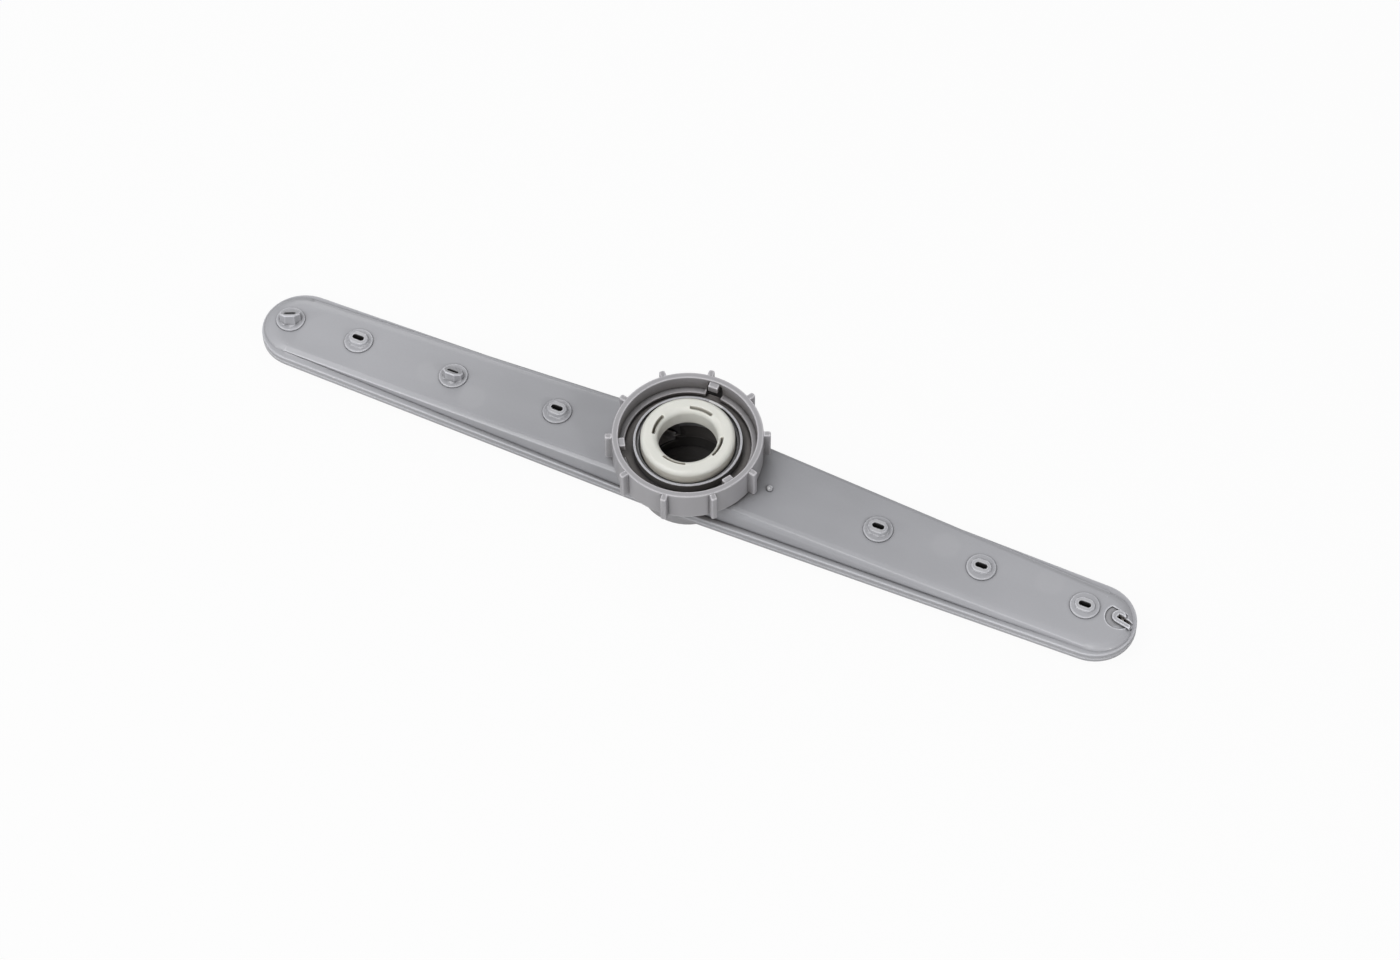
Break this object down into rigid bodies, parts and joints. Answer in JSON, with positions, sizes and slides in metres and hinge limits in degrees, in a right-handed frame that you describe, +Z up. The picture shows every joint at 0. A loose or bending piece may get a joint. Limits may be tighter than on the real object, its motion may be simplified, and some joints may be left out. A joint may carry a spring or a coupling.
{
  "type": "dishwasher spray arm",
  "caption": "Flat two-shell spray arm with upward jets along both tapering halves, a captive bayonet ring nut and a bearing bush at its hub.",
  "frame": {"origin": "centre of the boss foot that the arm lies on, on the hub axis", "axes": "+X along the arm to the tip with the end jet, +Y to the back, +Z up along the hub axis towards the ring nut"},
  "size_m": [0.46, 0.079, 0.0432],
  "materials": {
    "arm_grey": "satin moulded grey plastic",
    "nut_grey": "satin moulded grey plastic",
    "bush_cream": "smooth cream white bearing plastic"
  },
  "bodies": {
    "arm": {"upper_shell": "arm_grey", "lower_shell": "arm_grey"},
    "ring_nut": {"ring_nut": "nut_grey"},
    "bearing_bush": {"bearing_bush": "bush_cream"}
  },
  "joints": [
    {"name": "nut_turn", "type": "hinge", "parent": "arm", "child": "ring_nut", "pos_m": [0, 0, 0.03], "axis": [0, 0, 1], "continuous": true},
    {"name": "bush_turn", "type": "hinge", "parent": "arm", "child": "bearing_bush", "pos_m": [0, 0, 0.035], "axis": [0, 0, 1], "continuous": true}
  ]
}
